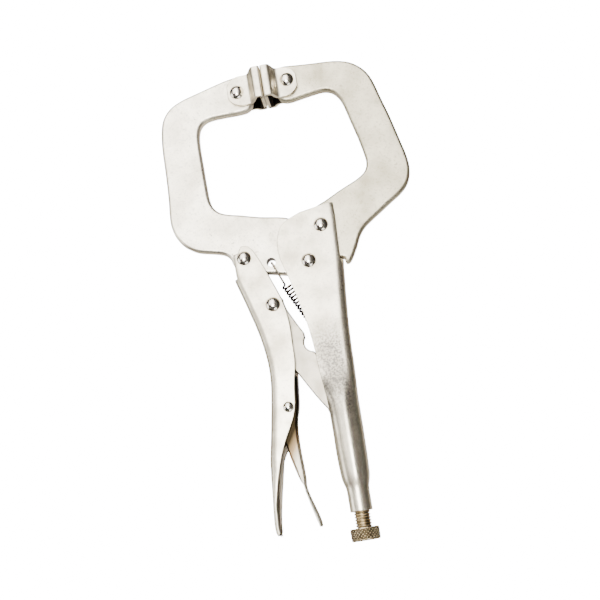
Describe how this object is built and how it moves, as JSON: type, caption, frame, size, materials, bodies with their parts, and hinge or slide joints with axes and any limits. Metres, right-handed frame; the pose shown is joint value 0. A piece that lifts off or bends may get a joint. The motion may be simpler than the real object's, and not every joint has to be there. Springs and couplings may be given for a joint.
{
  "type": "locking c-clamp pliers",
  "caption": "Steel locking C-clamp pliers with forged bowed jaws, swivel pads, pressed handles, toggle link, release lever and a knurled adjusting screw.",
  "frame": {"origin": "middle of the bounding box in x and y, at its lowest z: the clamp lies flat on one side", "axes": "+Z along the rivets, upwards; +Y from the knob along the adjusting screw towards the jaws; +X from the movable handle towards the fixed handle"},
  "size_m": [0.1432, 0.2808, 0.0232],
  "materials": {
    "fixed_handle": "satin nickel plate on pressed sheet",
    "fixed_jaw": "satin nickel plate on a forging",
    "moving_jaw": "satin nickel plate on a forging",
    "movable_handle": "satin nickel plate on pressed sheet",
    "toggle_link": "nickel plate on a stamped plate",
    "release_lever": "nickel plate on pressed sheet",
    "adjusting_screw": "yellow zinc plate on turned steel",
    "adjusting_knob": "yellow zinc plate on knurled steel",
    "moving_pad": "satin nickel plate on pressed sheet",
    "fixed_pad": "satin nickel plate on pressed sheet",
    "tension_spring": "spring wire",
    "fixed_jaw_rivet": "polished nickel",
    "jaw_pivot_rivet": "polished nickel",
    "handle_pivot_rivet": "polished nickel",
    "link_rivet": "polished nickel",
    "release_lever_rivet": "polished nickel",
    "fixed_pad_rivet": "polished nickel",
    "moving_pad_rivet": "polished nickel"
  },
  "bodies": {
    "fixed_handle": {"fixed_handle": "fixed_handle", "fixed_jaw": "fixed_jaw", "fixed_jaw_rivet": "fixed_jaw_rivet", "jaw_pivot_rivet": "jaw_pivot_rivet", "fixed_pad_rivet": "fixed_pad_rivet"},
    "moving_jaw": {"moving_jaw": "moving_jaw", "moving_pad_rivet": "moving_pad_rivet"},
    "movable_handle": {"movable_handle": "movable_handle", "handle_pivot_rivet": "handle_pivot_rivet", "link_rivet": "link_rivet", "release_lever_rivet": "release_lever_rivet"},
    "toggle_link": {"toggle_link": "toggle_link"},
    "release_lever": {"release_lever": "release_lever"},
    "adjusting_screw": {"adjusting_screw": "adjusting_screw"},
    "adjusting_knob": {"adjusting_knob": "adjusting_knob"},
    "moving_pad": {"moving_pad": "moving_pad"},
    "fixed_pad": {"fixed_pad": "fixed_pad"},
    "tension_spring": {"tension_spring": "tension_spring"}
  },
  "joints": [
    {"name": "jaw_open", "type": "hinge", "parent": "fixed_handle", "child": "moving_jaw", "pos_m": [0.00494, 0.01953, 0.0116], "axis": [0, 0, 1], "range_deg": [0, 22]},
    {"name": "handle_swing", "type": "hinge", "parent": "moving_jaw", "child": "movable_handle", "pos_m": [-0.03155, 0.02743, 0.0116], "axis": [0, 0, 1], "range_deg": [-63.5, 0]},
    {"name": "link_swing", "type": "hinge", "parent": "movable_handle", "child": "toggle_link", "pos_m": [-0.01926, -0.00217, 0.0116], "axis": [0, 0, 1], "range_deg": [0, 63.6]},
    {"name": "lever_press", "type": "hinge", "parent": "movable_handle", "child": "release_lever", "pos_m": [-0.01976, -0.06137, 0.0116], "axis": [0, 0, 1], "range_deg": [-5, 0]},
    {"name": "knob_turn", "type": "hinge", "parent": "adjusting_screw", "child": "adjusting_knob", "pos_m": [0.01064, -0.13687, 0.0116], "axis": [0, -1, 0], "range_deg": [0, 3640]},
    {"name": "screw_travel", "type": "slide", "parent": "fixed_handle", "child": "adjusting_screw", "axis": [0, -1, 0], "range_m": [0, 0.016]},
    {"name": "moving_pad_swivel", "type": "hinge", "parent": "moving_jaw", "child": "moving_pad", "pos_m": [-0.02065, 0.12803, 0.0116], "axis": [0, 0, 1], "range_deg": [-11.1, 0]},
    {"name": "fixed_pad_swivel", "type": "hinge", "parent": "fixed_handle", "child": "fixed_pad", "pos_m": [0.00965, 0.13023, 0.0116], "axis": [0, 0, 1], "range_deg": [0, 11.1]},
    {"name": "spring_swing", "type": "hinge", "parent": "moving_jaw", "child": "tension_spring", "pos_m": [-0.01656, 0.02283, 0.0116], "axis": [0, 0, 1], "range_deg": [-19, 0]}
  ],
  "couplings": [
    {"joint": "handle_swing", "follows": "jaw_open", "ratio": -2.871},
    {"joint": "link_swing", "follows": "jaw_open", "ratio": 2.88},
    {"joint": "moving_pad_swivel", "follows": "jaw_open", "ratio": -0.5},
    {"joint": "fixed_pad_swivel", "follows": "jaw_open", "ratio": 0.5},
    {"joint": "spring_swing", "follows": "jaw_open", "ratio": -0.852},
    {"joint": "knob_turn", "follows": "screw_travel", "rad_per_m": 3927}
  ]
}
